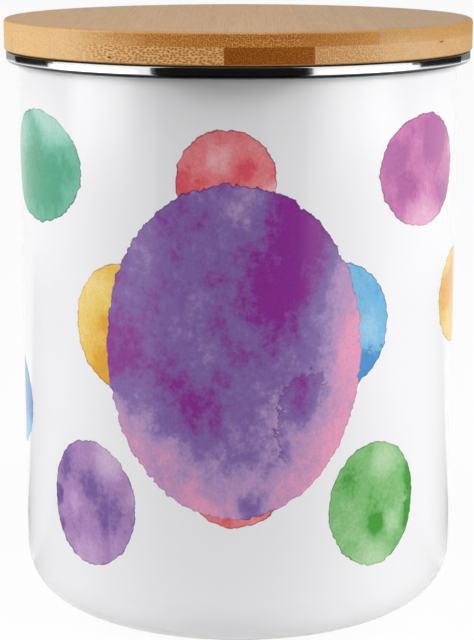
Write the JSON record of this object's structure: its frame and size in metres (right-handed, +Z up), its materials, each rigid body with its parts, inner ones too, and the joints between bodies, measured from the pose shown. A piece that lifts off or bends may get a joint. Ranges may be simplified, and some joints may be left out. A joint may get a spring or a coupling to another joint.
{
  "type": "biscuit tin",
  "caption": "Round white enamelled steel biscuit tin with a rounded base, a bright rolled rim and a flat laminated bamboo lid that lifts off, sealed by a silicone ring.",
  "frame": {"origin": "centre of the base, on the surface that the tin stands on", "axes": "+Z up along the can's axis, -Y towards the front of the print, +X to the right seen from the front"},
  "size_m": [0.13, 0.13, 0.1647],
  "materials": {
    "enamel": "glossy white vitreous enamel with printed watercolour dots",
    "rim_steel": "polished stainless steel",
    "bamboo_pale": "oiled pale bamboo",
    "bamboo_amber": "oiled amber bamboo",
    "bamboo_caramel": "oiled caramel bamboo",
    "silicone": "translucent white silicone"
  },
  "bodies": {
    "can": {"can_body": "enamel", "rim_ring": "rim_steel"},
    "seal": {"seal_ring": "silicone"},
    "lid": {"lid_upper_strip_1": "bamboo_pale", "lid_upper_strip_2": "bamboo_pale", "lid_upper_strip_3": "bamboo_amber", "lid_upper_strip_4": "bamboo_amber", "lid_upper_strip_5": "bamboo_amber", "lid_upper_strip_6": "bamboo_pale", "lid_lower_strip_1": "bamboo_pale", "lid_lower_strip_2": "bamboo_pale", "lid_lower_strip_3": "bamboo_pale", "lid_lower_strip_4": "bamboo_caramel", "lid_lower_strip_5": "bamboo_pale", "lid_lower_strip_6": "bamboo_pale", "lid_plug_strip_1": "bamboo_pale", "lid_plug_strip_2": "bamboo_amber", "lid_plug_strip_3": "bamboo_pale", "lid_plug_strip_4": "bamboo_pale", "lid_plug_strip_5": "bamboo_amber"}
  },
  "joints": [
    {"name": "lid_lift", "type": "slide", "parent": "can", "child": "seal", "axis": [0, 0, 1], "range_m": [0, 0.15]},
    {"name": "lid_turn", "type": "hinge", "parent": "seal", "child": "lid", "pos_m": [0, 0, 0.151], "axis": [0, 0, 1], "continuous": true}
  ]
}
